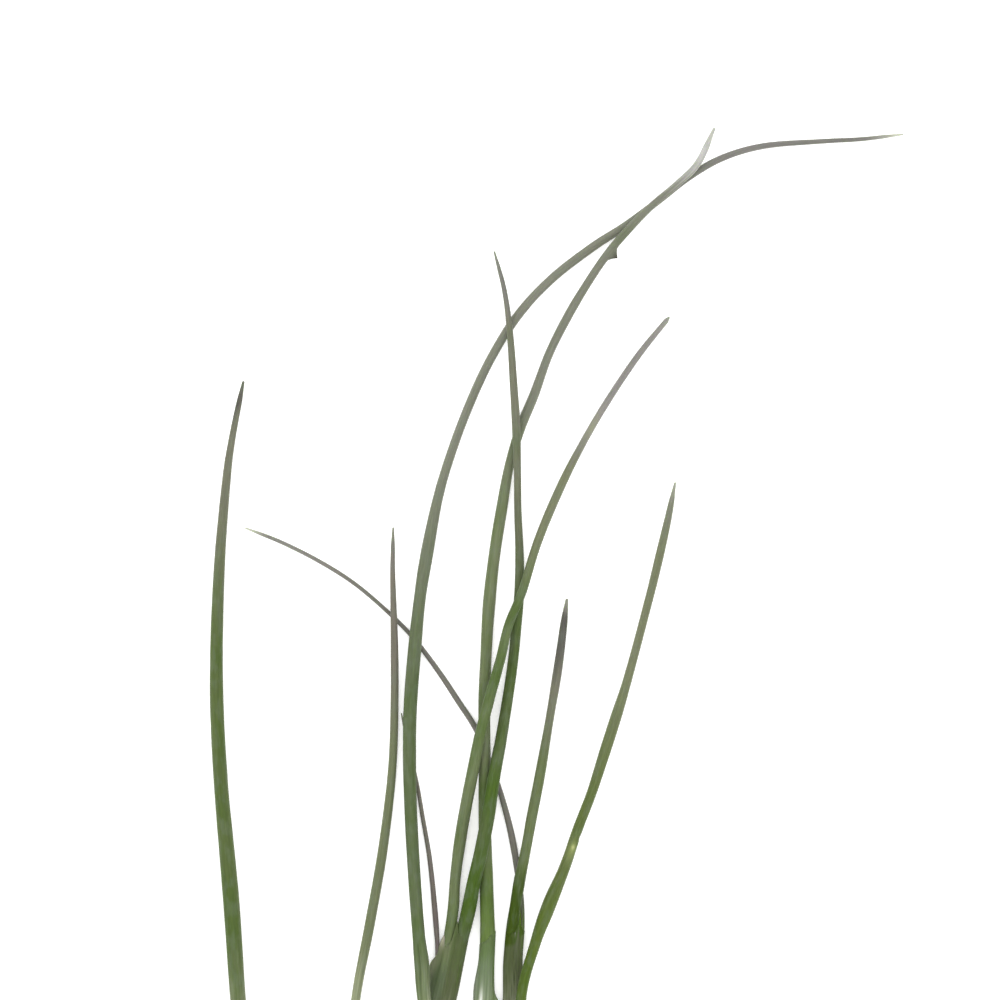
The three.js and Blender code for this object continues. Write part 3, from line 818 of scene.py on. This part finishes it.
def foot_in(sheath_route, height, foot):
    """Points of a leaf's foot, which runs up at half height in its sheath, beside the sheath's middle.
    Where the sheath is narrower than its mouth, the foot is narrower by the same share."""
    points = np.array(sheath_route, float)
    places = np.linspace(0, len(points) - 1, FOOT_STEPS * len(points))
    _, right, _ = directions(trace(points, places)[:, :3] * [1, 1, 0])
    sideways = right[np.linspace(0, len(right) - 1, len(points)).astype(int)]
    steps = []
    for (x, y, _, room), side in zip(sheath_route, sideways):
        share = min(1, room / points[-1, 3])
        aside = share * foot["aside"]
        width = share * foot["width"]
        steps.append([x + aside * side[0], y + aside * side[1], (height - width) / 2, width])
    return steps


finish(
    leaf(
        "tall_inner_leaf",
        foot_in(INNER_SHEATH_ROUTE, INNER_SHEATH_HEIGHT, INNER_FOOT) + TALL_INNER_ROUTE,
        seed=4,
        ribs=12,
        dry=26,
        marks=[(94.8, 5, 0.9, 0.6, 1.5, -0.9)],
        lush=[(98.5, 3, 0.3), (53, 3.5, 0.35), (-3, 5, 0.4), (-23.5, 5, 0.7), (-49.5, 4, 0.2)],
    ),
    skin_material("tall_inner_skin", chive_skin, {
        "Low": BRIGHT_GREEN, "Low To": 0.29, "Body": SOFT_GREEN, "Upper": PALE_OLIVE, "Tip": DRY_PALE,
        "Upper From": 0.6, "Upper To": 0.74, "Dry From": 0.92, "Dry To": 0.99, "Fresh Share": 0.3,
    }),
    "leaf_tall_inner",
)

# ----------------------------------------------------------------------------------------------------
# Centre sheath
# The thickest sheath, a papery green pipe around three leaves that grew together, two stout and one fine.
# Near its mouth it follows them, with shallow grooves between. Its thin lip slants up to the right and
# runs on between the leaves in short tongues.
# ----------------------------------------------------------------------------------------------------
CENTRE_SHEATH_HEIGHT = 3.8
CENTRE_SHEATH_ROUTE = [
    [-35, -122.3, 0, 6.4], [-32.8, -104.7, 0, 6.4], [-29.3, -87.1, 0, 6.4], [-25.5, -69.5, 0, 6.6],
    [-24.1, -62.5, 0, 6.9], [-22.9, -56.2, 0, 7],
]
CENTRE_RIGHT_FOOT = {"aside": 1.8, "width": 3.05}
CENTRE_LEFT_FOOT = {"aside": -1, "width": 2.35}
FINE_SHORT_FOOT = {"aside": -2.65, "width": 0.8}

finish(
    sheath(
        "centre_sheath",
        CENTRE_SHEATH_ROUTE,
        CENTRE_SHEATH_HEIGHT,
        slant=4.5,
        feet=[CENTRE_RIGHT_FOOT, CENTRE_LEFT_FOOT, FINE_SHORT_FOOT],
        seed=22,
        marks=[
            # The last mark is a shallow dent, its shade painted in the dark crease colour.
            (-56.4, 163, 2, 0.2, 0.1, 1), (-62.4, 178, 2.8, 0.2, 1.1, 0.35),
            (-62, 150, 4, 0.1, -0.12, -0.3),
        ],
        tongues=[(80, 0.3, 4), (163, 0.2, 3)],
    ),
    skin_material("centre_sheath_paper", papery_skin, {
        "Left": SHEATH_BLUE_GREEN, "Right": SHEATH_OLIVE, "Rim": SHEATH_OLIVE, "Left Mouth": WARM_GREEN,
        "Spot": MEMBRANE, "Green From": 0.57,
    }),
    "sheath_centre",
)

# ----------------------------------------------------------------------------------------------------
# Centre leaves
# Two hollow leaves that share the centre sheath and cross over the tall inner leaf. One stands nearly
# upright, and the other crosses over it as well and bends away to the right, where its tip is cut blunt.
# ----------------------------------------------------------------------------------------------------
CENTRE_UPRIGHT_ROUTE = [
    [-19.5, -49.7, 0.8, 3.25], [-18.35, -43.6, 2.5, 3], [-16.7, -36.5, 3.5, 3], [-15.2, -28.8, 3.8, 3],
    [-13.8, -19.8, 3.6, 2.8], [-12.4, -12.3, 2.2, 2.6], [-10.95, -3.5, 0.9, 2.4], [-9.7, 5.3, 0.2, 2.35],
    [-8.95, 13, 0, 2.3], [-8.3, 20.7, 0, 2.2], [-8.3, 29.5, 0.1, 1.85], [-8.65, 38.3, 1, 1.65],
    [-8.75, 47.1, 2.4, 1.65], [-9.05, 57, 2.7, 1.85], [-9.65, 66.9, 2.4, 1.7], [-10.35, 76.8, 2.3, 1.45],
    [-11.6, 86.5, 2.2, 1.1], [-13.8, 95, 2.4, 0.8],
]
CENTRE_BENT_ROUTE = [
    [-22.85, -49.3, 0.9, 2.5], [-22.45, -43.1, 0.6, 2.4], [-21.5, -35.4, 0.5, 2.65],
    [-20.2, -27.7, 1.3, 2.65], [-18.5, -18.9, 3.2, 2.6], [-17, -11.2, 4.7, 2.45],
    [-14.95, -3.3, 4.4, 2.4], [-12.4, 5.9, 3.6, 2.15], [-10.7, 13, 3, 2], [-7.65, 20.45, 2.7, 1.95],
    [-4.25, 31.4, 2, 1.95], [0.7, 43.25, 0.8, 1.9], [5.65, 53, 0.2, 1.6], [11.25, 62.5, 0, 1.5],
    [17.85, 72.3, 0, 1.4], [24.55, 80.6, 0.5, 1.1],
]

finish(
    leaf(
        "centre_upright_leaf",
        foot_in(CENTRE_SHEATH_ROUTE, CENTRE_SHEATH_HEIGHT, CENTRE_RIGHT_FOOT) + CENTRE_UPRIGHT_ROUTE,
        seed=5,
        lush=[(77, 3, 0.2), (53, 3.5, 0.35), (17, 6, 0.3), (-23.5, 5, 0.9), (-45, 8, 1)],
    ),
    skin_material("centre_upright_skin", chive_skin, {
        "Body": DARK_GREEN, "Tip": SILVER_GREY, "Upper From": 0.56, "Upper To": 0.86, "Dry From": 0.9,
        "Dry To": 0.97, "Pale Point": 0.1,
    }),
    "leaf_centre_upright",
)
finish(
    leaf(
        "centre_bent_leaf",
        foot_in(CENTRE_SHEATH_ROUTE, CENTRE_SHEATH_HEIGHT, CENTRE_LEFT_FOOT) + CENTRE_BENT_ROUTE,
        seed=6,
        dry=6,
        point=0.5,
        marks=[(56.5, 90, 3, 1.3, 0, 0.2)],
        lush=[(17, 7, 0.6), (2, 9, 0.7), (-9, 5, 0.4), (-51, 4, 0.3)],
    ),
    skin_material("centre_bent_skin", chive_skin, {
        "Body": WARM_GREEN, "Upper": YELLOW_GREY, "Tip": LIGHT_GREY, "Upper To": 0.77, "Dry From": 0.8,
        "Dry To": 0.88, "Fresh Share": 0.3, "Pale Point": 0.2,
    }),
    "leaf_centre_bent",
)

# ----------------------------------------------------------------------------------------------------
# Right sheath
# A green papery pipe around the feet of a short leaf and a fine one. Its thin lip has a pale spot and
# runs on between them in a tongue, and a row of small creases, their shade painted dark, runs down from
# it.
# ----------------------------------------------------------------------------------------------------
RIGHT_SHEATH_HEIGHT = 3.3
RIGHT_SHEATH_ROUTE = [
    [-12.7, -122.3, 0, 4.5], [-11.9, -100.3, 0, 4.5], [-10.7, -82.7, 0, 4.5], [-9.75, -69.5, 0, 4.6],
    [-9.65, -61.8, 0, 4.8], [-9.15, -54.6, 0, 4.6],
]
RIGHT_SHORT_FOOT = {"aside": -0.85, "width": 2.7}
FINE_ARCHING_FOOT = {"aside": 1.35, "width": 1.2}

finish(
    sheath(
        "right_sheath",
        RIGHT_SHEATH_ROUTE,
        RIGHT_SHEATH_HEIGHT,
        slant=1,
        feet=[RIGHT_SHORT_FOOT, FINE_ARCHING_FOOT],
        seed=23,
        marks=[
            # The last four marks are shallow creases with their shade painted dark.
            (-54.4, 92, 0.8, 0.12, 0, 0.2), (-62, 60, 1.6, 0.12, -0.1, -0.6),
            (-64.5, 80, 1.6, 0.12, -0.1, -0.6), (-67, 100, 1.6, 0.12, -0.1, -0.6),
            (-69.5, 118, 1.6, 0.12, -0.1, -0.6),
        ],
        tongues=[(55, 0.35, 5)],
    ),
    skin_material("right_sheath_paper", papery_skin, {
        "Left": SHEATH_DULL_GREEN, "Right": SHEATH_OLIVE, "Rim": SHEATH_OLIVE, "Mouth": FRESH_GREEN,
        "Left Mouth": DARKEST_GREEN, "Mouth From": 0.95,
    }),
    "sheath_right",
)

# ----------------------------------------------------------------------------------------------------
# Right leaves
# Two green leaves on the right: a short one from the right sheath, and an outer one that lies over that
# sheath's edge and bows away. The outer one has an old crease low down, painted with a yellow highlight.
# ----------------------------------------------------------------------------------------------------
RIGHT_SHORT_ROUTE = [
    [-9.2, -48.8, 1.8, 2.5], [-8.2, -42.7, 2, 2.55], [-6.85, -36.1, 1.9, 2.3], [-5.6, -29.3, 0.8, 2.35],
    [-3.9, -20.7, 0, 2.3], [-1.65, -7.7, 0, 1.85], [0.3, 4.2, 0, 2], [2.15, 18.5, 0.5, 1.2],
]
RIGHT_OUTER_ROUTE = [
    [-8.2, -122.3, 0, 2.2], [-7.6, -100.3, 0.5, 2.3], [-7.2, -84, 2.8, 2.3], [-7.95, -69.1, 3.6, 2.3],
    [-4.95, -57.4, 2.1, 2.4], [-1.75, -48.6, 0.2, 3.15], [1.7, -40.3, 0, 2.45], [4.55, -31.9, 0, 2.25],
    [7.65, -23.85, 0, 2.2], [10.35, -15.45, 0, 2.5], [13.1, -6.85, 0, 2.45], [15.65, 1.5, 0, 1.95],
    [19.9, 17.4, 0, 1.85], [22.3, 27.1, 0, 1.9], [24.25, 35.6, 0.1, 1.6], [26, 44.2, 0.4, 0.9],
]

finish(
    leaf(
        "right_short_leaf",
        foot_in(RIGHT_SHEATH_ROUTE, RIGHT_SHEATH_HEIGHT, RIGHT_SHORT_FOOT) + RIGHT_SHORT_ROUTE,
        seed=7,
        ribs=10,
        lush=[(-46.5, 6, 0.7)],
    ),
    skin_material("right_short_skin", chive_skin, {
        "Low": DARKEST_GREEN, "Low To": 0.52, "Body": LIGHT_GREEN, "Tip": DARK_TIP,
        "Fresh": DARKEST_GREEN, "Fresh Share": 0.1, "Upper From": 0.72, "Upper To": 0.86,
        "Dry From": 0.85, "Dry To": 0.93,
    }),
    "leaf_right_short",
)
finish(
    leaf(
        "right_outer_leaf",
        RIGHT_OUTER_ROUTE,
        seed=8,
        marks=[
            # The first two marks paint a pale yellow highlight on the crease; the third is a plain dent.
            (-35.9, 75, 0.6, 0.35, -0.1, 0.8), (-36.3, 80, 2.2, 0.9, 0, 0.3),
            (-33.5, 20, 0.7, 0.8, -0.2, 0),
        ],
        lush=[(-64, 6, 0.5)],
    ),
    skin_material("right_outer_skin", chive_skin, {
        "Low": OLIVE_GREEN, "Low To": 0.4, "Body": WARM_OLIVE, "Upper": YELLOW_GREY, "Tip": PALE_OLIVE,
        "Upper From": 0.56, "Upper To": 0.8, "Fresh Share": 0.25,
    }),
    "leaf_right_outer",
)

# ----------------------------------------------------------------------------------------------------
# Fine leaves
# The two thinnest leaves, thread-like young tubes that have wilted to a purple grey. One lies under the
# whole bunch and arches across it to the left. The short one stands in the centre sheath, on its left.
# ----------------------------------------------------------------------------------------------------
FINE_ARCHING_ROUTE = [
    [-7.75, -48, 0.1, 1], [-8.65, -42, 0, 1.3], [-9.45, -36.5, 0, 1.5], [-10.85, -29.9, 0, 1.4],
    [-13.2, -21.8, 0, 1.2], [-17.45, -10.8, 0, 1.25], [-21.85, -3.7, 0, 1.3], [-26.65, 3.5, 0, 1.15],
    [-32.1, 10.6, 0, 1], [-38.35, 16.8, 0, 0.9], [-45.1, 22.4, 0, 0.9], [-52.7, 27.15, 0, 0.9],
    [-60.55, 31.1, 0, 0.85], [-68.6, 34.3, 0.2, 0.7],
]
FINE_SHORT_ROUTE = [
    [-26.4, -57.6, 1.1, 0.95], [-26.6, -54, 0.6, 1.2], [-26.9, -50.2, 0.2, 1.25],
    [-27.55, -43.1, 0, 1.15], [-28.35, -36.7, 0, 1.05], [-29.6, -29.5, 0, 0.95], [-30.9, -21.8, 0, 0.85],
    [-32.6, -14.5, 0, 0.7], [-34.3, -6.6, 0, 0.6],
]

finish(
    leaf(
        "fine_arching_leaf",
        foot_in(RIGHT_SHEATH_ROUTE, RIGHT_SHEATH_HEIGHT, FINE_ARCHING_FOOT) + FINE_ARCHING_ROUTE,
        seed=9,
        ribs=7,
        dry=30,
    ),
    skin_material("fine_arching_skin", chive_skin, {
        "Low": DARK_GREEN, "Low To": 0.36, "Body": DRY_GREY, "Upper": DRY_GREY, "Tip": PALE_GREY,
        "Upper From": 0.6, "Upper To": 0.75, "Dry From": 0.82, "Fresh Share": 0.05, "Pale Point": 1,
    }),
    "leaf_fine_arching",
)
finish(
    leaf(
        "fine_short_leaf",
        foot_in(CENTRE_SHEATH_ROUTE, CENTRE_SHEATH_HEIGHT, FINE_SHORT_FOOT)[:-1] + FINE_SHORT_ROUTE,
        seed=10,
        ribs=7,
        dry=12,
    ),
    skin_material("fine_short_skin", chive_skin, {
        "Foot": BEIGE_GREY, "Foot To": 0.62, "Low": PURPLE_DARK, "Low To": 0.65, "Body": PURPLE_GREY,
        "Upper": WILTED_GREY, "Fresh Share": 0.05,
    }),
    "leaf_fine_short",
)
